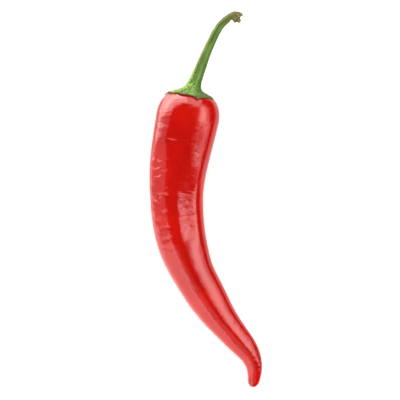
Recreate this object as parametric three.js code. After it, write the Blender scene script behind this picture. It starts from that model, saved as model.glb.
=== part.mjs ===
// A fresh red chilli pepper as picked, lying on its side: the pod, its calyx and its stem.
// Millimetres, +Z up. The pod rests on z = 0, its bend lies in the XY plane and the stem points
// towards +Y. Each piece is turned straight about one axis and then laid along the bent axis.
import * as THREE from 'three';
import { mergeVertices } from 'three/addons/utils/BufferGeometryUtils.js';

// Driving dimensions.
const podLength = 120;
const podRadius = 12.1;
const stemLength = 39.5;
const calyxRadius = 9.3;
const gap = 0.3;

// Distances along the axis are counted from the plane of the calyx's rim: positive values run
// down the pod to its tip, negative values run up the stem to its broken end.
const rimCentre = new THREE.Vector2(-5.63, 39.46);

// Heading of the axis in degrees at chosen distances, seen from above: 0 runs towards -Y and
// positive headings turn towards +X.
const headings = [
  [-stemLength, -128], [-36, -88], [-33.5, -62], [-31, -45], [-27, -29.5], [-20, -24.5],
  [-13, -21], [-9, -20.5], [-6, -22], [-4, -17], [-2.2, -10.5], [0, -9], [12, -11.5],
  [24, -9.5], [36, -1.5], [48, 7], [60, 17], [72, 28], [84, 33], [96, 40], [105, 37],
  [112, 13], [podLength, -12],
];

// Half the pod's width along its length, before the shoulder and the tip round it off, and half
// its height, which is less because the fruit sags a little where it lies.
const halfWidths = [
  [0, 1], [10, 1], [24, 0.935], [37, 0.85], [48, 0.82], [60, 0.755], [70, 0.665], [81, 0.61],
  [94, 0.475], [103, 0.4], [110, 0.295], [116, 0.205], [podLength, 0.16],
].map(([along, share]) => [along, share * podRadius]);
const halfHeights = [
  [0, 0.96], [10, 0.96], [38, 0.81], [66, 0.67], [92, 0.48], [108, 0.31], [116, 0.205],
  [podLength, 0.16],
].map(([along, share]) => [along, share * podRadius]);

// The pod is pressed slightly flat along its line of contact, and the stem rises from it.
const contactDepth = 0.2;
const stemRise = 3.5;

// The shoulder swells from the calyx's rim to the full width as a squarish arc.
const shoulderTop = -2.5;
const shoulderLength = 11.5;
const shoulderPower = 2.5;
const tipLength = 3;
const domeHeight = 1;

// Three soft lobes run down the flanks and fade towards the tip.
const lobes = 3;
const lobeDepth = 0.012;

// Radius of the stem from its swollen, broken end to its flared foot on the calyx.
const stemFoot = -4.3;
const footRadius = 2.95;
const stemRadii = [
  [-stemLength, 1.75], [-37.5, 1.95], [-34, 1.6], [-28, 1.55], [-21, 1.72], [-15, 1.95],
  [-9, 2.25], [-6, 2.55], [stemFoot, footRadius],
];
const ribs = 5;
const ribHeight = 0.07;
const endBevel = 0.5;

// The calyx is a thin cap that spreads from the stem's foot, given as [radius, along] points
// down to its edge, which carries five small teeth.
const calyxEdge = 0.6;
const calyxSlope = [
  [footRadius, stemFoot + gap], [3.5, -3.2], [5, -2.45], [7.2, -1.75],
  [calyxRadius - 0.3, -gap - calyxEdge], [calyxRadius, -gap - calyxEdge / 2],
];
const teeth = 5;
const toothLength = 0.7;
const toothTurn = 0.42;
const toothSlope = 1.2;

// Mesh density.
const podSides = 32;
const podRings = 66;
const calyxSides = 50;
const stemSides = 20;
const stemRings = 34;
const axisStep = 0.5;

// A smooth curve through [place, value] stations, level beyond the first and the last one.
function through(stations, place) {
  const last = stations.length - 1;
  if (place <= stations[0][0]) return stations[0][1];
  if (place >= stations[last][0]) return stations[last][1];
  const i = stations.findIndex(([start], k) => place >= start && place < stations[k + 1][0]);
  const [start, from] = stations[i];
  const [end, to] = stations[i + 1];
  const slopeAt = (k) => {
    const before = stations[Math.max(k - 1, 0)];
    const after = stations[Math.min(k + 1, last)];
    return (after[1] - before[1]) / (after[0] - before[0]);
  };
  const span = end - start;
  const u = (place - start) / span;
  const v = 1 - u;
  return v * v * (1 + 2 * u) * from + u * u * (3 - 2 * u) * to
    + span * u * v * (v * slopeAt(i) - u * slopeAt(i + 1));
}

// The axis as seen from above, walked in short steps from the rim in either direction.
function walkAxis(end) {
  const points = [rimCentre.clone()];
  const step = Math.sign(end) * axisStep;
  for (let along = 0; Math.abs(along) < Math.abs(end) + axisStep; along += step) {
    const heading = THREE.MathUtils.degToRad(through(headings, along + step / 2));
    const stride = new THREE.Vector2(Math.sin(heading), -Math.cos(heading)).multiplyScalar(step);
    points.push(points.at(-1).clone().add(stride));
  }
  return points;
}

const podAxis = walkAxis(podLength);
const stemAxis = walkAxis(-stemLength);

function axisPoint(along) {
  const points = along < 0 ? stemAxis : podAxis;
  const steps = Math.abs(along) / axisStep;
  const i = Math.min(Math.floor(steps), points.length - 2);
  return new THREE.Vector2().lerpVectors(points[i], points[i + 1], steps - i);
}

// Lays a straight point down along the axis. A lathe turns about Y, so y is the distance along.
// The pod's underside lies level, so the axis runs at half its height over the floor.
function lay(point) {
  const heading = THREE.MathUtils.degToRad(through(headings, point.y));
  const centre = axisPoint(point.y);
  const halfHeight = through(halfHeights, point.y);
  const flattening = halfHeight / through(halfWidths, point.y);
  const rise = stemRise * THREE.MathUtils.smoothstep(-point.y, 0, stemLength);
  const height = halfHeight - contactDepth + rise - flattening * point.z;
  return new THREE.Vector3(
    centre.x + point.x * Math.cos(heading),
    centre.y + point.x * Math.sin(heading),
    Math.max(height, 0),
  );
}

// Turns a profile of (radius, along) points, shapes each point and lays the piece down.
function turnAndLay(profile, sides, shape) {
  const geometry = new THREE.LatheGeometry(profile, sides);
  geometry.deleteAttribute('normal');
  geometry.deleteAttribute('uv');
  const position = geometry.getAttribute('position');
  const point = new THREE.Vector3();
  for (let i = 0; i < position.count; i += 1) {
    point.fromBufferAttribute(position, i);
    shape(point, Math.atan2(point.x, point.z));
    position.setXYZ(i, ...lay(point));
  }
  return mergeVertices(geometry, 1e-5);
}

function widen(point, factor) {
  point.x *= factor;
  point.z *= factor;
}

// The pod's top under the calyx is a shallow dome that ends at the rim.
function domeDrop(radius) {
  return -domeHeight * (1 - (radius / shoulderRadius(0)) ** 2);
}

function shoulderRadius(along) {
  const left = 1 - Math.min((along - shoulderTop) / shoulderLength, 1);
  return through(halfWidths, along) * (1 - left ** shoulderPower) ** (1 / shoulderPower);
}

function podRadiusAt(along) {
  const beyond = Math.max(along - (podLength - tipLength), 0) / tipLength;
  return shoulderRadius(along) * Math.sqrt(Math.max(1 - beyond ** 2, 0));
}

function podProfile() {
  const rimRadius = shoulderRadius(0);
  const profile = [0, 0.3, 0.6, 0.85].map(
    (share) => new THREE.Vector2(share * rimRadius, domeDrop(share * rimRadius)),
  );
  for (let ring = 0; ring <= podRings; ring += 1) {
    // Rings crowd towards the shoulder and the tip, where the outline turns fastest.
    const share = ring / podRings;
    const along = podLength * (share - 0.11 * Math.sin(2 * Math.PI * share));
    profile.push(new THREE.Vector2(ring === podRings ? 0 : podRadiusAt(along), along));
  }
  return profile;
}

function makePod() {
  return turnAndLay(podProfile(), podSides, (point, angle) => {
    const depth = lobeDepth * (1 - THREE.MathUtils.smoothstep(point.y, 0, podLength));
    widen(point, 1 + depth * Math.cos(lobes * angle));
  });
}

function calyxProfile() {
  const upper = new THREE.SplineCurve(calyxSlope.map((pair) => new THREE.Vector2(...pair)));
  const under = [1, 0.97, 0.94, 0.88, 0.7, 0.5, 0.25, 0].map((share) => {
    const radius = share * (calyxRadius - 0.25);
    return new THREE.Vector2(radius, Math.min(domeDrop(radius), 0) - gap);
  });
  return [new THREE.Vector2(0, stemFoot + gap), ...upper.getPoints(12), ...under];
}

function makeCalyx() {
  return turnAndLay(calyxProfile(), calyxSides, (point, angle) => {
    const radius = Math.hypot(point.x, point.z);
    const atEdge = THREE.MathUtils.smoothstep(radius, 0.9 * calyxRadius, calyxRadius);
    const wave = Math.cos(teeth * (angle - toothTurn));
    const tooth = toothLength * atEdge * THREE.MathUtils.smoothstep(wave, 0.45, 1);
    widen(point, radius > 0 ? 1 + tooth / radius : 1);
    point.y += toothSlope * tooth;
  });
}

function makeStem() {
  const profile = [new THREE.Vector2(0, -stemLength)];
  for (let ring = 0; ring <= stemRings; ring += 1) {
    const along = THREE.MathUtils.lerp(-stemLength, stemFoot, ring / stemRings);
    const bevel = ring === 0 ? endBevel : 0;
    profile.push(new THREE.Vector2(through(stemRadii, along) - bevel, along));
  }
  profile.push(new THREE.Vector2(0, stemFoot));
  return turnAndLay(profile, stemSides, (point, angle) => {
    widen(point, 1 + ribHeight * Math.cos(ribs * angle));
  });
}

function piece(name, geometry, color, roughness) {
  const material = new THREE.MeshStandardMaterial({ color, roughness, metalness: 0 });
  const mesh = new THREE.Mesh(geometry, material);
  mesh.name = name;
  return mesh;
}

const chilli = new THREE.Group();
chilli.add(
  piece('pod', makePod(), 0xc4170b, 0.28),
  piece('calyx', makeCalyx(), 0xa2b765, 0.55),
  piece('stem', makeStem(), 0x72893f, 0.5),
);

export default chilli;
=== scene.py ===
# %% [markdown]
# # A red chilli pepper, grown straight and then bent
#
# A fresh chilli is three organs of one plant: the glossy red pod, the thin green calyx that caps
# its shoulder, and the ribbed stem that broke off the plant. All three grew around one line, so
# the lesson makes each of them straight around the Z axis, where lobes, ribs and wrinkles are
# easy to say, and then lays the finished shapes down along the plant's real, bent line.
# A sculpted blob or a row of joined spheres would be quicker, but its wrinkles and ribs would not
# follow the growth of the fruit.

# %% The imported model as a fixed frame
import math

import bmesh
import bpy
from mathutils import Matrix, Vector, noise


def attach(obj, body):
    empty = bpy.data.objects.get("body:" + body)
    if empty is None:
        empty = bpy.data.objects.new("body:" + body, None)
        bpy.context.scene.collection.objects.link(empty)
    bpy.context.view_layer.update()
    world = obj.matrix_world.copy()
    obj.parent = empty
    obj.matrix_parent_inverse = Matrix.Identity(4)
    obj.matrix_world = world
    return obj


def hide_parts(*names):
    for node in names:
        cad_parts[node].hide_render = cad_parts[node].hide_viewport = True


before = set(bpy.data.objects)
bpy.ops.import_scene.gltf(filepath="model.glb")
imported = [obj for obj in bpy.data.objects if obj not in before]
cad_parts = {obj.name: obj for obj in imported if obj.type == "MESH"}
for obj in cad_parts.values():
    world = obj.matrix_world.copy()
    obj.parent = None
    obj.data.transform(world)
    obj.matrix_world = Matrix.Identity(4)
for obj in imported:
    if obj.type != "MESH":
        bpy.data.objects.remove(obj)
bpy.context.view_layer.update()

# %% [markdown]
# ## Sizes
#
# Shapes are thought out in millimetres and turned to metres when they are laid down. Distances
# along the plant count from the rim of the calyx: positive values run down the pod to its tip,
# negative values run up the stem to its broken end. Long tables of sections are not needed: a
# fruit's outline is a handful of stations with a smooth curve through them.

# %% Driving sizes
MM = 0.001
# The organs' lengths and radii, and where the calyx's rim lies.
POD_LENGTH = 120.0
POD_RADIUS = 12.1
STEM_LENGTH = 39.5
CALYX_RADIUS = 9.3
RIM_CENTRE = Vector((-5.63, 39.46))
# How deep the pod is pressed flat where it rests, and how far the stem's end rises.
CONTACT_DEPTH = 0.2
STEM_RISE = 3.5

# Heading of the plant's line in degrees, seen from above: 0 runs towards -Y, positive towards +X.
HEADINGS = [
    (-STEM_LENGTH, -128), (-36, -88), (-33.5, -62), (-31, -45), (-27, -29.5), (-20, -24.5),
    (-13, -21), (-9, -20.5), (-6, -22), (-4, -17), (-2.2, -10.5), (0, -9), (12, -11.5),
    (24, -9.5), (36, -1.5), (48, 7), (60, 17), (72, 28), (84, 33), (96, 40), (105, 37),
    (112, 13), (POD_LENGTH, -12),
]

# The pod's half width and half height, as shares of its radius.
HALF_WIDTHS = [
    (0, 1), (10, 1), (24, 0.935), (37, 0.85), (48, 0.82), (60, 0.755), (70, 0.665),
    (81, 0.61), (94, 0.475), (103, 0.4), (110, 0.295), (116, 0.205), (POD_LENGTH, 0.16),
]
HALF_HEIGHTS = [
    (0, 0.96), (10, 0.96), (38, 0.81), (66, 0.67), (92, 0.48), (108, 0.31), (116, 0.205),
    (POD_LENGTH, 0.16),
]
print("pod and stem together:", POD_LENGTH + STEM_LENGTH, "mm along the plant")

# %% [markdown]
# ## Smooth values between stations
#
# Nothing on a fruit changes in steps, so widths and headings ease from one station to the next.
# One polynomial through all the stations would swing between them. A cubic from each station to
# the next, with slopes that agree where two of them meet, stays close to the stations. Two more
# helpers ease a mark in and out: one rises once, the other rises and falls round a place.


# %% A smooth curve through stations
def through(stations, place):
    """The value at a place on a smooth curve through (place, value) stations."""
    last = len(stations) - 1
    if place <= stations[0][0]:
        return stations[0][1]
    if place >= stations[last][0]:
        return stations[last][1]
    i = max(k for k in range(last) if stations[k][0] <= place)

    def slope(k):
        before, after = stations[max(k - 1, 0)], stations[min(k + 1, last)]
        return (after[1] - before[1]) / (after[0] - before[0])

    (start, first), (end, second) = stations[i], stations[i + 1]
    span = end - start
    u = (place - start) / span
    v = 1 - u
    eased = v * v * (1 + 2 * u) * first + u * u * (3 - 2 * u) * second
    return eased + span * u * v * (v * slope(i) - u * slope(i + 1))


def smooth(low, high, value):
    """Rises from 0 at low to 1 at high, level at both ends."""
    u = min(max((value - low) / (high - low), 0), 1)
    return u * u * (3 - 2 * u)


def bump_at(value, place, reach):
    """A smooth bump of height 1 round a place."""
    return math.exp(-((value - place) / reach) ** 2)


print("half width at mid pod:", round(POD_RADIUS * through(HALF_WIDTHS, 60), 2), "mm")

# %% [markdown]
# ## The plant's line
#
# The line is walked in half millimetre steps from the rim, turning by the heading at each step,
# the way a turtle drawing is made. A Bezier curve would also bend, but its length would change
# with every edit of its handles, while here the pod keeps its length whatever the headings say.

# %% Walking the line
STEP = 0.5


def walk(end):
    """Points of the plant's line seen from above, from the rim to a distance along it."""
    step = math.copysign(STEP, end)
    points = [RIM_CENTRE.copy()]
    for i in range(int(abs(end) / STEP) + 2):
        heading = math.radians(through(HEADINGS, (i + 0.5) * step))
        points.append(points[-1] + step * Vector((math.sin(heading), -math.cos(heading))))
    return points


pod_line = walk(POD_LENGTH)
stem_line = walk(-STEM_LENGTH)


def line_point(along):
    """The line's point at a distance along it, seen from above."""
    points = stem_line if along < 0 else pod_line
    steps = abs(along) / STEP
    i = min(int(steps), len(points) - 2)
    return points[i].lerp(points[i + 1], steps - i)


def lay(straight):
    """Where a straight point lies: its x goes across the line, its y up, its z along."""
    along = straight.z
    heading = math.radians(through(HEADINGS, along))
    centre = line_point(along)
    half_height = POD_RADIUS * through(HALF_HEIGHTS, along)
    flattening = half_height / (POD_RADIUS * through(HALF_WIDTHS, along))
    rise = STEM_RISE * smooth(0, STEM_LENGTH, -along)
    return MM * Vector((
        centre.x + straight.x * math.cos(heading),
        centre.y + straight.x * math.sin(heading),
        max(half_height - CONTACT_DEPTH + rise + flattening * straight.y, 0),
    ))


print("tip of the pod at", [round(c, 4) for c in lay(Vector((0, 0, POD_LENGTH)))])

# %% [markdown]
# ## Turning a piece
#
# A fruit on its stalk is close to a turned shape, so each organ starts as an outline that is
# spun about the Z axis and shaped afterwards point by point. Before it is bent, every point also
# keeps a note of where it was on the straight plant. The materials read that note, so their
# streaks and wrinkles run along and around the fruit wherever it bends, with no seam.

# %% Turning, shaping and laying down
def turned(outline, sides):
    """A closed shape turned about Z from (radius, along) points that start and end on it."""
    bm = bmesh.new()
    chain = [bm.verts.new((radius, 0, along)) for radius, along in outline]
    edges = [bm.edges.new(pair) for pair in zip(chain, chain[1:])]
    bmesh.ops.spin(
        bm, geom=chain + edges, cent=(0, 0, 0), axis=(0, 0, 1), dvec=(0, 0, 0),
        angle=math.tau, steps=sides, use_merge=True, use_duplicate=False,
    )
    bmesh.ops.remove_doubles(bm, verts=bm.verts, dist=0.0005)
    bmesh.ops.recalc_face_normals(bm, faces=bm.faces)
    return bm


def grown(name, bm, shape, node):
    """Shapes each straight point, lays the piece down and lets it stand for its CAD node."""
    place = bm.verts.layers.float_vector.new("straight")
    ridge = bm.verts.layers.float.new("ridge")
    dry = bm.verts.layers.float.new("dry")
    for vert in bm.verts:
        start = vert.co.copy()
        radius = math.hypot(start.x, start.y)
        angle = math.atan2(start.y, start.x)
        vert.co, vert[ridge], vert[dry] = shape(start, radius, angle)
        vert[place] = start
    for vert in bm.verts:
        vert.co = lay(vert.co)
    bmesh.ops.recalc_face_normals(bm, faces=bm.faces)
    for face in bm.faces:
        face.smooth = True
    mesh = bpy.data.meshes.new(name)
    bm.to_mesh(mesh)
    bm.free()
    piece = bpy.data.objects.new(name, mesh)
    bpy.context.scene.collection.objects.link(piece)
    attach(piece, "root")
    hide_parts(node)
    print(name, "has", len(mesh.polygons), "faces")
    return piece


trial = turned([(0, 0), (1, 0), (1, 1), (0, 1)], 8)
print("a trial drum turned with 8 sides has", len(trial.faces), "faces")
trial.free()

# %% [markdown]
# ## The pod
#
# The pod is the fruit's fleshy wall, one closed skin from the calyx to the tip. The flank's
# stations give its width, a squarish arc rounds the shoulder, a short arc the tip, and under the
# calyx the top is a shallow dome. A subdivided cylinder pulled into shape would do for a plain
# pod, but an outline keeps the shoulder and the tip exactly as full as they are asked to be.

# %% The pod's outline
SHOULDER_TOP = -2.5
SHOULDER_LENGTH = 11.5
SHOULDER_POWER = 2.5
TIP_LENGTH = 2.4
DOME_HEIGHT = 1.0
DOME_RINGS = 12
POD_RINGS = 440
POD_SIDES = 176
# How strongly the rings crowd towards the shoulder and the tip, where the outline turns fastest.
RING_CROWDING = 0.1


def shoulder_radius(along):
    """The pod's radius with its shoulder rounded off and its tip not yet."""
    left = 1 - min((along - SHOULDER_TOP) / SHOULDER_LENGTH, 1)
    flank = POD_RADIUS * through(HALF_WIDTHS, along)
    return flank * (1 - left ** SHOULDER_POWER) ** (1 / SHOULDER_POWER)


def pod_radius(along):
    """The pod's radius with the shoulder and the tip rounded off."""
    beyond = max(along - (POD_LENGTH - TIP_LENGTH), 0) / TIP_LENGTH
    return shoulder_radius(along) * math.sqrt(max(1 - beyond ** 2, 0))


def dome_drop(radius):
    """Where the pod's top lies along the plant: 0 at the rim, up the stem's way in the middle."""
    return -DOME_HEIGHT * (1 - (radius / shoulder_radius(0)) ** 2)


def pod_outline():
    """The pod's (radius, along) points from the middle of its top to its tip."""
    rim = shoulder_radius(0)
    radii = [rim * i / DOME_RINGS for i in range(DOME_RINGS)]
    points = [(radius, dome_drop(radius)) for radius in radii]
    for ring in range(POD_RINGS + 1):
        share = ring / POD_RINGS
        along = POD_LENGTH * (share - RING_CROWDING * math.sin(math.tau * share))
        points.append((0 if ring == POD_RINGS else pod_radius(along), along))
    return points


print("widest point of the pod:", round(2 * max(radius for radius, _ in pod_outline()), 1), "mm")

# %% [markdown]
# ## The pod's relief
#
# On the clean shape grow the marks of a real fruit: three soft lobes from the chambers inside,
# flats where the wall has sunk between them, slow swells, pleats under the calyx, and the signs
# of a skin that has begun to slacken, which are creases that run across the fruit, ripples beside
# them and puckers on the outer flank. A displacement texture would be quicker to set up, but each
# of these marks has its own place, and the larger ones steer where the gloss falls.

# %% The pod's relief
LOBES = 3
LOBE_TURN = math.radians(-90)
LOBE_DEPTH = 0.012 * POD_RADIUS
PLEATS = 11
# The very tip hooks a little to one side and carries the dry scar of the fallen flower.
HOOK_START = POD_LENGTH - 8
TIP_HOOK = Vector((-0.5, 0, 0.9))
SCAR_PLACE = Vector((-1.5, 0, POD_LENGTH - 1.0))
# The relief fades out nearer than this to the plant's line: at the tip and amid the top.
RELIEF_FADE = 3.5


def stretched(point, around, along):
    """A point for noise whose marks measure about `around` by `along` millimetres."""
    return Vector((point.x / around, point.y / around, point.z / along))


# Flats where the wall has sunk between two soft ridges: (from, to, turn, half spread, depth),
# along the pod in mm, around it in degrees (0 is its inner flank, 90 faces up), depth as a share
# of the radius.
FLATS = [
    (35, 58, 67, 23, 0.07),
    (22, 58, 140, 25, 0.045),
    (60, 118, 62, 26, 0.03),
    (58, 118, 124, 32, 0.045),
]
# Creases across the skin: (along, turn, half length in degrees, width in mm, depth in mm, lean).
CREASES = [
    (17.7, 98, 30, 0.5, 0.2, 0.3), (25.6, 128, 18, 0.5, 0.16, 0), (27.9, 134, 16, 0.5, 0.14, 1),
    (30.6, 130, 22, 0.8, 0.24, 1), (33.2, 136, 17, 0.6, 0.14, 0), (38.3, 126, 20, 0.6, 0.3, 0),
    (41.2, 140, 16, 0.7, 0.2, -1), (44.6, 128, 17, 0.5, 0.22, 0), (47.3, 142, 15, 0.7, 0.2, 0.5),
    (50.2, 126, 17, 0.5, 0.24, 0), (54.3, 124, 16, 0.5, 0.24, 0), (57.5, 130, 18, 0.6, 0.15, -0.5),
    (12.4, 140, 18, 0.6, 0.08, 0), (21.0, 60, 20, 0.6, 0.04, 0), (40.6, 60, 24, 0.7, 0.08, 1),
    (43.0, 72, 16, 0.6, 0.08, -0.5), (46.8, 62, 20, 0.6, 0.08, 0.5), (51.5, 66, 18, 0.6, 0.07, 0),
    (63.0, 128, 18, 0.7, 0.07, 0), (69.5, 134, 20, 0.8, 0.06, 0.5), (86.0, 128, 22, 0.8, 0.05, 0),
]


def around_from(angle, turn):
    """Degrees around the pod from a turn."""
    return math.degrees(math.remainder(angle - math.radians(turn), math.tau))


def flats(along, angle):
    """Depth of the flats as a share of the radius."""
    depth = 0
    for start, end, turn, half_spread, deepest in FLATS:
        here = smooth(start - 3, start + 3, along) * (1 - smooth(end - 4, end + 4, along))
        aside = around_from(angle, turn) / half_spread
        depth += deepest * here * max(1 - aside ** 2, 0) ** 1.2
    return depth


def creases(along, angle):
    """Depth of the creases in mm; each one wavers and thins out towards its ends."""
    depth = 0
    for place, turn, half_length, width, deepest, lean in CREASES:
        if abs(along - place) < 4:
            aside = around_from(angle, turn) / half_length
            waver = 0.7 * noise.noise(Vector((6 * angle, 0.4 * along, place)))
            off = (along - place - lean * aside - waver) / width
            depth += deepest * (0.7 + waver) * math.exp(-off ** 2 - aside ** 4)
    return depth


def swells(point, angle):
    """Slow bulges of a fruit that did not grow evenly, with one larger bulge on the inner flank."""
    slow = 0.15 * noise.noise(stretched(point, 16, 26))
    slow += 0.07 * noise.noise(stretched(point, 6, 9) + Vector((5, 5, 5)))
    shoulder = 0.06 * (1 - smooth(2, 14, point.z)) * noise.noise(stretched(point, 4, 3))
    bulge = 0.5 * bump_at(point.z, 27, 6) * bump_at(around_from(angle, 48), 0, 22)
    pitted = 0.022 * noise.noise(stretched(point, 2.6, 1.5) + Vector((7, 7, 2)))
    return slow + shoulder + bulge + pitted


def slack_skin(point, angle):
    """Wrinkles, ripples and puckers of a skin that has lost a little water."""
    slack = smooth(-0.3, 0.4, noise.noise(stretched(point, 12, 22) + Vector((9, 2, 4))))
    wrinkled = (1 - abs(noise.noise(stretched(point, 5, 1.3)))) ** 5
    on_top = bump_at(point.z, 44, 17) * bump_at(around_from(angle, 100), 0, 60)
    ripples = on_top * noise.noise(stretched(point, 3.5, 0.55) + Vector((3, 8, 1)))
    outer = bump_at(point.z, 35, 24) * bump_at(around_from(angle, 138), 0, 34)
    puckers = outer * noise.noise(stretched(point, 3.2, 2.4) + Vector((1, 4, 6)))
    return 0.06 * ripples + 0.14 * puckers - 0.05 * (0.25 + slack) * wrinkled


def pod_relief(point, radius, angle):
    """How far the skin stands out from the clean shape, in mm."""
    along = point.z
    fade = 1 - smooth(0, POD_LENGTH, along)
    lobes = LOBE_DEPTH * fade * math.cos(LOBES * (angle - LOBE_TURN))
    uneven = 2 * noise.noise(point / 6)
    pleats = 0.1 * (1 - smooth(0, 6, along)) * math.cos(PLEATS * angle + uneven)
    sunk = creases(along, angle) + radius * flats(along, angle)
    return lobes + swells(point, angle) + pleats + slack_skin(point, angle) - sunk


def shape_pod(start, radius, angle):
    """The pod's point with its relief, the relief's height and how dry the skin is there."""
    if radius < 0.001:
        return start, 0.0, 0.0
    relief = pod_relief(start, radius, angle) * smooth(0, RELIEF_FADE, radius)
    factor = 1 + relief / radius
    hooked = smooth(HOOK_START, POD_LENGTH, start.z) * TIP_HOOK
    from_scar = math.hypot(start.x - SCAR_PLACE.x, start.z - SCAR_PLACE.z)
    scar = 1 - smooth(0.5, 1.2, from_scar + 0.4 * noise.noise(start / 0.7))
    return Vector((start.x * factor, start.y * factor, start.z)) + hooked, relief, scar


pod = grown("pod_skin", turned(pod_outline(), POD_SIDES), shape_pod, "pod")

# %% [markdown]
# ## The stem
#
# A chilli's stem is a little thinner in the middle and swells into a knuckle where it tore off the
# branch. It is turned from stations like the pod, because a tapered curve would need the same
# radii and give no say over its end. Its foot reaches a little way into the calyx, so no seam
# shows between them.

# %% The stem's outline
STEM_FOOT = -4.3
SEAM_OVERLAP = 0.4
SEAM_INSET = 0.05
STEM_RADII = [
    (-STEM_LENGTH, 1.65), (-37.5, 1.85), (-34, 1.5), (-28, 1.5), (-21, 1.68), (-15, 1.9),
    (-9, 2.2), (-6, 2.5), (STEM_FOOT, 2.95), (-3.4, 3.4),
]
STEM_RINGS = 210
STEM_SIDES = 112
# The sunk end face as (radius, depth) points.
TORN_FACE = [(0, 0.7), (0.45, 0.62), (0.85, 0.55), (1.1, 0.35), (1.3, 0.1), (1.5, 0)]


def stem_outline():
    """The stem's (radius, along) points from its torn end to inside the calyx."""
    points = [(radius, -STEM_LENGTH + depth) for radius, depth in TORN_FACE]
    for ring in range(1, STEM_RINGS + 1):
        along = -STEM_LENGTH + (STEM_LENGTH + STEM_FOOT + SEAM_OVERLAP) * ring / STEM_RINGS
        inset = SEAM_INSET * smooth(STEM_FOOT, STEM_FOOT + SEAM_OVERLAP, along)
        points.append((through(STEM_RADII, along) - inset, along))
    points.append((2.0, points[-1][1]))
    points.append((0, points[-1][1]))
    return points


print("points in the stem's outline:", len(stem_outline()))

# %% [markdown]
# ## Ridges and the torn end
#
# The stem is ridged like a reed. Its ridges are sharper than their valleys, twist slowly and run
# on into the calyx, where they turn knobbly, so one function gives their height to both pieces.
# The knuckle has a notch inside its curl, with a spur beside it, and the torn face is ragged and
# dry. The ridges could be cut with loops and bevels, but then they would be as even as a moulding.

# %% The ridges that the stem and the calyx share
RIDGES = 5
RIDGE_TURN = math.radians(78)
TWIST = math.radians(0.9)
FINE_RIDGES = 19
# The torn end, in mm from the stem's tip: the middles of the knuckle and of its notch, how far
# its lumps reach and how far the tear itself does.
KNUCKLE_PLACE = 3.4
NOTCH_PLACE = 5.0
END_REACH = 5
TEAR_REACH = 1.4


def green_ridge(point, angle):
    """Height of the ridges, from about -1 in a valley to about 1 on a crest."""
    turned_by = TWIST * (point.z - STEM_FOOT)
    main = 1 - 2 * abs(math.sin(RIDGES / 2 * (angle - RIDGE_TURN - turned_by))) ** 1.6
    waver = noise.noise(stretched(point, 1.5, 7)) + noise.noise(stretched(point, 0.6, 3))
    fine = math.cos(FINE_RIDGES * angle + 2.6 * waver + FINE_RIDGES * turned_by)
    knobbly = noise.noise(stretched(point, 0.5, 0.8)) * smooth(-16, -5, point.z)
    return 0.38 * main + 0.28 * fine + 0.45 * waver + 1.1 * knobbly


def shape_stem(start, radius, angle):
    """The stem's point with its ridges and torn end, the ridges' height and how dry it is."""
    along = start.z
    from_end = along + STEM_LENGTH
    end = 1 - smooth(0, END_REACH, from_end)
    ridge = green_ridge(start, angle)
    inner = max(math.cos(angle), 0)
    relief = 0.075 * radius * ridge
    knuckle = 0.5 * bump_at(from_end, KNUCKLE_PLACE, 1.8) * max(-math.cos(angle - 0.5), 0)
    notch = -0.75 * bump_at(from_end, NOTCH_PLACE, 0.8) * inner ** 2
    spur = 0.55 * bump_at(from_end, KNUCKLE_PLACE, 0.7) * inner ** 3
    lumps = 0.22 * end * (noise.noise(start / 0.8) + noise.noise(start / 0.45))
    on_flank = smooth(0.2, 1.4, radius)
    widened = 1 + (relief + on_flank * (knuckle + notch + spur + lumps)) / max(radius, 0.2)
    torn = 1 - smooth(0, TEAR_REACH, from_end)
    around = Vector((1.6 * math.cos(angle), 1.6 * math.sin(angle), radius))
    ragged = 0.6 * torn * smooth(0.3, 1.5, radius) * noise.noise(around + Vector((0, 0, 7)))
    ragged += torn * (1 - 1.1 * inner * smooth(0.5, 1.5, radius))
    moved = Vector((start.x * widened, start.y * widened, along + ragged))
    face = torn * (1 - smooth(1.2, 1.6, radius))
    specks = 0.8 * end * smooth(0.15, 0.4, noise.noise(start / 0.6))
    return moved, ridge, max(face, specks, 0.8 * torn * inner)


stem = grown("stem_green", turned(stem_outline(), STEM_SIDES), shape_stem, "stem")

# %% [markdown]
# ## The calyx
#
# The calyx is a thin cap of grown-together sepals, thickest where it flares out of the stem and
# almost a blade at its rim. Its veins are the stem's ridges spread out, and its rim waves slightly
# and carries five small dry teeth of unlike length. A flat disc with a Solidify modifier would be
# equally thick all over, so it is turned as one closed outline, over the top and back underneath.

# %% The calyx
CALYX_SIDES = 260
CALYX_SLOPE = [
    (3.4, -3.4), (3.95, -2.85), (5.0, -2.2), (6.2, -1.75), (7.4, -1.3), (8.5, -0.85),
    (9.0, -0.62), (CALYX_RADIUS, -0.42), (9.22, -0.24),
]
SLOPE_STEPS = 48
UNDER_GAP = 0.12
TOOTH_LENGTH = 1.0
TOOTH_SLOPE = 1.2
TOOTH_SPREAD = 7
# The five teeth: (turn in degrees, share of the full length).
TEETH = [(-20, 0.3), (76, 0.95), (181, 1.0), (236, 0.7), (302, 0.8)]


def tooth_share(angle):
    """How much of a tooth grows out at this angle: 0 between the teeth, up to 1 on the longest."""
    return sum(share * bump_at(around_from(angle, turn), 0, TOOTH_SPREAD) for turn, share in TEETH)


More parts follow.
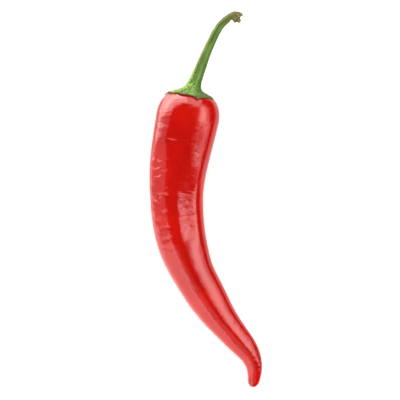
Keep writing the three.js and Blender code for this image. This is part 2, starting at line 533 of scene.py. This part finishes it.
def calyx_outline():
    """The calyx's (radius, along) points over its top, round its rim and back underneath."""
    top = STEM_FOOT - SEAM_OVERLAP
    points = [(0, top), (1.4, top)]
    for i in range(13):
        along = top + 0.1 * i
        inset = SEAM_INSET * smooth(STEM_FOOT, top, along)
        points.append((through(STEM_RADII, along) - inset, along))
    radii = list(enumerate(radius for radius, _ in CALYX_SLOPE))
    heights = list(enumerate(along for _, along in CALYX_SLOPE))
    for i in range(SLOPE_STEPS + 1):
        share = (len(CALYX_SLOPE) - 1) * i / SLOPE_STEPS
        points.append((through(radii, share), through(heights, share)))
    for share in (0.97, 0.94, 0.9, 0.84, 0.76, 0.66, 0.5, 0.3, 0):
        radius = share * CALYX_RADIUS
        points.append((radius, min(dome_drop(radius), 0) - UNDER_GAP))
    return points


def shape_calyx(start, radius, angle):
    """The calyx's point with its veins and teeth, the veins' height and how dry it is there."""
    ridge = green_ridge(start, angle)
    cap_top = start.z < min(dome_drop(radius), 0) - 0.2
    spread = smooth(2.5, 4.5, radius)
    fading = 1 - 0.75 * smooth(6, CALYX_RADIUS, radius)
    lift = ridge * (0.075 * radius * (1 - spread) + 0.2 * spread * fading)
    at_edge = smooth(0.86 * CALYX_RADIUS, CALYX_RADIUS, radius)
    tooth = tooth_share(angle)
    around = Vector((math.cos(angle), math.sin(angle), 1))
    rim_wave = 0.3 * noise.noise(3 * around) + 0.2 * noise.noise(9 * around)
    inner_side = max(math.cos(angle), 0) ** 2
    outward = at_edge * (TOOTH_LENGTH * tooth + rim_wave - 0.3 * inner_side)
    if cap_top:
        outward += lift * (1 - spread)
    widened = (radius + outward) / max(radius, 0.01)
    along = start.z + at_edge * (TOOTH_SLOPE * outward + 0.8 * inner_side)
    if cap_top:
        along -= lift * spread
    rim_line = smooth(0.95 * CALYX_RADIUS, CALYX_RADIUS, radius)
    browned = smooth(-0.8, -0.2, along) * (0.5 + 0.5 * smooth(0.2, 0.7, tooth))
    # Patches on the right of the calyx's slope turn brown.
    right_slope_browned = 0.7 * smooth(3.5, 8, start.x) * smooth(-2.6, -1.2, along)
    patchy = smooth(-0.5, 0.1, noise.noise(start / 0.9))
    dry = max(rim_line * (0.6 + 0.4 * patchy), patchy * max(browned, right_slope_browned))
    return Vector((start.x * widened, start.y * widened, along)), ridge, dry


calyx = grown("calyx_green", turned(calyx_outline(), CALYX_SIDES), shape_calyx, "calyx")

# %% [markdown]
# ## Colours and a helper for nodes
#
# Colours are chosen as sRGB hex values, the way a painter reads them off a swatch, and turned to
# the linear values that the shader needs in one place. One helper adds any node with its settings
# and links, so each material below reads as a short list of what it is made of.

# %% Colour and node helpers
def hex_colour(text):
    """Linear RGBA from an sRGB hex string."""
    channels = []
    for i in (1, 3, 5):
        value = int(text[i:i + 2], 16) / 255
        channels.append(value / 12.92 if value <= 0.04045 else ((value + 0.055) / 1.055) ** 2.4)
    return (*channels, 1)


def add(tree, kind, inputs=None, **settings):
    """Adds a node; an input is a value, or the output socket that feeds it."""
    made = tree.nodes.new(kind)
    for name, value in settings.items():
        setattr(made, name, value)
    for socket, value in (inputs or {}).items():
        if isinstance(value, bpy.types.NodeSocket):
            tree.links.new(value, made.inputs[socket])
        else:
            made.inputs[socket].default_value = value
    return made


def new_material(name):
    """An empty material, its tree and its output node."""
    material = bpy.data.materials.new(name)
    material.use_nodes = True
    material.node_tree.nodes.clear()
    output = add(material.node_tree, "ShaderNodeOutputMaterial")
    return material, material.node_tree, output


print("mid grey #808080 is", round(hex_colour("#808080")[0], 3), "in linear light")

# %% [markdown]
# ## The pod's skin
#
# Ripe chilli skin is a thin red cuticle under natural wax: deep pigment in the wall gives the
# colour, and the wax gives the gloss, so the pigment itself shines not at all and a smooth coat
# does all of the shining. The red is a little uneven where the fruit ripened at different times.
# The wax follows wrinkles and pores far finer than the modelled creases, a third of a millimetre
# across, which soften every streak of gloss, so those are left to bump under the coat and in it.
# Natural wax has an IOR of about 1.45. The coat's stands higher, so that it mirrors more of the
# light that meets it head on and the cards round the fruit can be dimmer.
# The scar at the tip has dried to a brown red.

# %% Waxy red skin
# Sizes of the skin's marks in mm: patches of ripeness, wrinkles (across, across, along) and pores.
RIPENESS_PATCH = 14
WRINKLE_SIZE = (1.8, 1.8, 0.4)
PORE_SIZE = 0.35
COAT_IOR = 1.7
skin, tree, output = new_material("ripe_chilli_skin_waxed")
place = add(tree, "ShaderNodeAttribute", attribute_name="straight")
ripeness = add(tree, "ShaderNodeTexNoise", {
    "Vector": place.outputs["Vector"], "Scale": 1 / RIPENESS_PATCH, "Detail": 3, "Roughness": 0.55})
red = add(tree, "ShaderNodeValToRGB", {"Fac": ripeness.outputs["Fac"]})
red.color_ramp.elements[0].position = 0.35
red.color_ramp.elements[0].color = hex_colour("#AC0400")
red.color_ramp.elements[1].position = 0.68
red.color_ramp.elements[1].color = hex_colour("#BE0B00")
wrinkle_place = add(tree, "ShaderNodeMapping", {
    "Vector": place.outputs["Vector"], "Scale": [1 / size for size in WRINKLE_SIZE]})
wrinkles = add(tree, "ShaderNodeTexNoise", {
    "Vector": wrinkle_place.outputs["Vector"], "Scale": 1, "Detail": 2, "Roughness": 0.5})
peel = add(tree, "ShaderNodeTexNoise", {
    "Vector": place.outputs["Vector"], "Scale": 1 / PORE_SIZE, "Detail": 1})
wrinkle_bump = add(tree, "ShaderNodeBump", {
    "Height": wrinkles.outputs["Fac"], "Strength": 1, "Distance": 0.05 * MM})
skin_bump = add(tree, "ShaderNodeBump", {
    "Height": peel.outputs["Fac"], "Strength": 1, "Distance": 0.025 * MM,
    "Normal": wrinkle_bump.outputs["Normal"]})
scar = add(tree, "ShaderNodeAttribute", attribute_name="dry")
scarred = add(tree, "ShaderNodeMix", {
    "Factor": scar.outputs["Fac"], "A": red.outputs["Color"], "B": hex_colour("#6A1508")},
    data_type="RGBA")
waxed = add(tree, "ShaderNodeBsdfPrincipled", {
    "Base Color": scarred.outputs["Result"], "Roughness": 0.3, "IOR": 1.45,
    "Specular IOR Level": 0.0, "Normal": skin_bump.outputs["Normal"],
    "Coat Normal": skin_bump.outputs["Normal"],
    "Coat Weight": 1.0, "Coat Roughness": 0.12, "Coat IOR": COAT_IOR,
    "Subsurface Weight": 0.08,
    "Subsurface Radius": (1.0, 0.12, 0.05), "Subsurface Scale": 1.2 * MM})
tree.links.new(waxed.outputs["BSDF"], output.inputs["Surface"])
pod.data.materials.append(skin)
print("the pod wears", pod.data.materials[0].name)

# %% [markdown]
# ## The green tissue
#
# Stem and calyx share one living tissue: chlorophyll green in the valleys, paler on the crests
# where the ridges are thin and dry, with a satin cuticle. Fine fibres run along it. One side is
# darkened as painted shade, and the stem turns olive towards its end. Where the tissue has
# dried it is straw coloured on the torn face and brown along the calyx's rim and teeth.

# %% Satin green tissue
# Width and length of one fibre in mm.
FIBRE_SIZE = (0.3, 0.3, 1.6)


def green_tissue(name, dried):
    """Satin plant tissue: fibres, pale crests, limer near the pod, olive up the stem, painted shade
    on one side.
    """
    material, tree, output = new_material(name)
    place = add(tree, "ShaderNodeAttribute", attribute_name="straight")
    ridge = add(tree, "ShaderNodeAttribute", attribute_name="ridge")
    dry = add(tree, "ShaderNodeAttribute", attribute_name="dry")
    fibre_place = add(tree, "ShaderNodeMapping", {
        "Vector": place.outputs["Vector"], "Scale": [1 / size for size in FIBRE_SIZE]})
    fibres = add(tree, "ShaderNodeTexNoise", {
        "Vector": fibre_place.outputs["Vector"], "Scale": 1, "Detail": 3, "Roughness": 0.6})
    height = add(tree, "ShaderNodeMath", {
        0: ridge.outputs["Fac"], 1: fibres.outputs["Fac"]}, operation="ADD")
    tone = add(tree, "ShaderNodeMapRange", {
        "Value": height.outputs["Value"], "From Min": 0.05, "From Max": 1.0})
    along = add(tree, "ShaderNodeSeparateXYZ", {"Vector": place.outputs["Vector"]})
    low = add(tree, "ShaderNodeMapRange", {
        "Value": along.outputs["Z"], "From Min": -13, "From Max": -3})
    far = add(tree, "ShaderNodeMapRange", {
        "Value": along.outputs["Z"], "From Min": -28, "From Max": -36})
    valley = add(tree, "ShaderNodeMix", {
        "Factor": low.outputs["Result"], "A": hex_colour("#435E1A"), "B": hex_colour("#466E17")},
        data_type="RGBA")
    crest = add(tree, "ShaderNodeMix", {
        "Factor": low.outputs["Result"], "A": hex_colour("#7E9D42"), "B": hex_colour("#9CCB5C")},
        data_type="RGBA")
    living = add(tree, "ShaderNodeMix", {
        "Factor": tone.outputs["Result"], "A": valley.outputs["Result"],
        "B": crest.outputs["Result"]}, data_type="RGBA")
    # Painted shade: the tissue is mixed towards a darker green across one side.
    shade = add(tree, "ShaderNodeMapRange", {
        "Value": along.outputs["X"], "From Min": -1.8, "From Max": 2.0, "To Max": 0.8})
    with_painted_shade = add(tree, "ShaderNodeMix", {
        "Factor": shade.outputs["Result"], "A": living.outputs["Result"],
        "B": hex_colour("#436C18")}, data_type="RGBA")
    aged = add(tree, "ShaderNodeMix", {
        "Factor": far.outputs["Result"], "A": with_painted_shade.outputs["Result"],
        "B": hex_colour("#5C5A1C")}, data_type="RGBA")
    colour = add(tree, "ShaderNodeMix", {
        "Factor": dry.outputs["Fac"], "A": aged.outputs["Result"], "B": hex_colour(dried)},
        data_type="RGBA")
    bump = add(tree, "ShaderNodeBump", {
        "Height": fibres.outputs["Fac"], "Strength": 1, "Distance": 0.15 * MM})
    tissue = add(tree, "ShaderNodeBsdfPrincipled", {
        "Base Color": colour.outputs["Result"], "Roughness": 0.52, "IOR": 1.4,
        "Normal": bump.outputs["Normal"]})
    tree.links.new(tissue.outputs["BSDF"], output.inputs["Surface"])
    return material


stem.data.materials.append(green_tissue("ridged_stem_tissue", "#CFC28C"))
calyx.data.materials.append(green_tissue("thin_calyx_tissue", "#5F3E18"))
print("green tissues:", stem.data.materials[0].name, "and", calyx.data.materials[0].name)

# %% [markdown]
# ## The floor
#
# The chilli lies on plain white paper. The paper glows faintly, so that it stays white where
# little light reaches it, and a card stands in for its mirror image in the wax. It could be a
# shadow catcher over a white background, but paper takes the soft shadow and the red bounce by
# itself.

# %% The floor
FLOOR_RADIUS = 6
paper, tree, output = new_material("matte_white_paper")
sheet = add(tree, "ShaderNodeBsdfPrincipled", {
    "Base Color": hex_colour("#FCFCFB"), "Roughness": 0.9,
    "Emission Color": hex_colour("#FFFFFF"), "Emission Strength": 0.22})
tree.links.new(sheet.outputs["BSDF"], output.inputs["Surface"])
bm = bmesh.new()
bmesh.ops.create_circle(bm, cap_ends=True, segments=64, radius=FLOOR_RADIUS)
floor_mesh = bpy.data.meshes.new("floor")
bm.to_mesh(floor_mesh)
bm.free()
floor = bpy.data.objects.new("floor", floor_mesh)
bpy.context.scene.collection.objects.link(floor)
floor.data.materials.append(paper)
floor.visible_glossy = False
# Three of the cards stand under the paper, which lets their light through.
floor.visible_shadow = False
print("the paper reaches", FLOOR_RADIUS, "m from the chilli")

# %% [markdown]
# ## Lights
#
# The chilli lies in a pale, even room. The room and two washes light its colours but show in no
# reflection. What the wax mirrors is a set of cards around the fruit, low behind its shoulder and
# along both flanks, faintly warm so that its streaks of gloss stay pink, and the glow of the
# paper from below, which keeps its outline from going dark. Bare softboxes would do both jobs at
# once, but then no streak could move without changing the reds.


# %% Lights
def direction(azimuth, polar):
    """A unit vector; azimuth from +X towards +Y, polar from straight up."""
    a, p = math.radians(azimuth), math.radians(polar)
    return Vector((math.sin(p) * math.cos(a), math.sin(p) * math.sin(a), math.cos(p)))


CARD_TINT = (1.0, 0.74, 0.72)


def panel(name, azimuth, polar, width, height, radiance, aside=0):
    """An area light a metre away that faces the fruit, moved sideways by `aside` metres."""
    light = bpy.data.lights.new(name, "AREA")
    light.shape = "RECTANGLE"
    light.size = width
    light.size_y = height
    light.energy = radiance * math.pi * width * height
    lamp = bpy.data.objects.new(name, light)
    bpy.context.scene.collection.objects.link(lamp)
    lamp.location = direction(azimuth, polar) + aside * direction(azimuth + 90, 90)
    lamp.rotation_euler = (math.radians(polar), 0, math.radians(azimuth + 90))
    lamp.visible_camera = False
    return lamp


def card(*place_and_size, aside=0):
    """A panel that shows in the gloss and lights nothing else."""
    lamp = panel(*place_and_size, aside=aside)
    lamp.data.color = CARD_TINT
    lamp.visible_diffuse = False


def wash(*place_and_size):
    """A panel that lights the colours and shows in no gloss."""
    lamp = panel(*place_and_size)
    lamp.visible_glossy = False


# Each panel: name, azimuth, polar angle, width, height, brightness, and how far it is set aside.
card("left_back_card", 130, 81, 1.3, 0.95, 4.2)
card("left_back_low_card", 134, 106, 1.6, 0.9, 3.5)
card("back_card", 76, 67, 0.8, 0.7, 2.5)
card("right_card", -19, 54, 1.5, 0.9, 1.55, aside=0.75)
card("right_core_card", -18, 50, 1.2, 0.42, 2.6, aside=0.6)
card("right_low_card", -16, 77, 0.12, 0.5, 2.3)
card("left_front_card", 201, 76, 1.5, 1.1, 1.9, aside=0.75)
card("left_side_card", 181, 90, 0.7, 1.0, 0.6)
card("left_under_card", 236, 125, 2.0, 0.9, 1.55)
card("front_card", 262, 47, 1.5, 0.45, 0.65)
card("paper_glow_card", 0, 180, 4, 4, 0.9)
wash("left_wash", 200, 76, 1.2, 0.4, 2.6)
wash("right_wash", 10, 40, 1.2, 0.4, 1.5)

world = bpy.data.worlds.new("pale_room")
bpy.context.scene.world = world
world.use_nodes = True
background = world.node_tree.nodes["Background"]
background.inputs["Color"].default_value = hex_colour("#F4F4F2")
background.inputs["Strength"].default_value = 1.3
world.cycles_visibility.glossy = False

# %% [markdown]
# ## Camera
#
# The camera hangs straight above, with the stem towards the top of its view. It looks through a
# long lens from far away, as in a studio, so that near and far parts keep the same scale. An
# orthographic camera would come close, but a real lens always leaves a little perspective.

# %% Camera
LENS = 400
SENSOR = 36
# Height of the view in metres at mid height of the pod, and the point it is centred on.
FRAME_HEIGHT = 0.154
MID_HEIGHT = 0.008
VIEW_CENTRE = (-0.0023, -0.00024)
camera_data = bpy.data.cameras.new("camera")
camera_data.lens = LENS
camera_data.sensor_width = SENSOR
camera = bpy.data.objects.new("camera", camera_data)
bpy.context.scene.collection.objects.link(camera)
camera.location = (*VIEW_CENTRE, MID_HEIGHT + FRAME_HEIGHT * LENS / SENSOR)
bpy.context.scene.camera = camera
bpy.context.scene.view_settings.view_transform = "Standard"
print("the camera is", round(camera.location.z, 2), "m above the table")

bpy.context.view_layer.update()
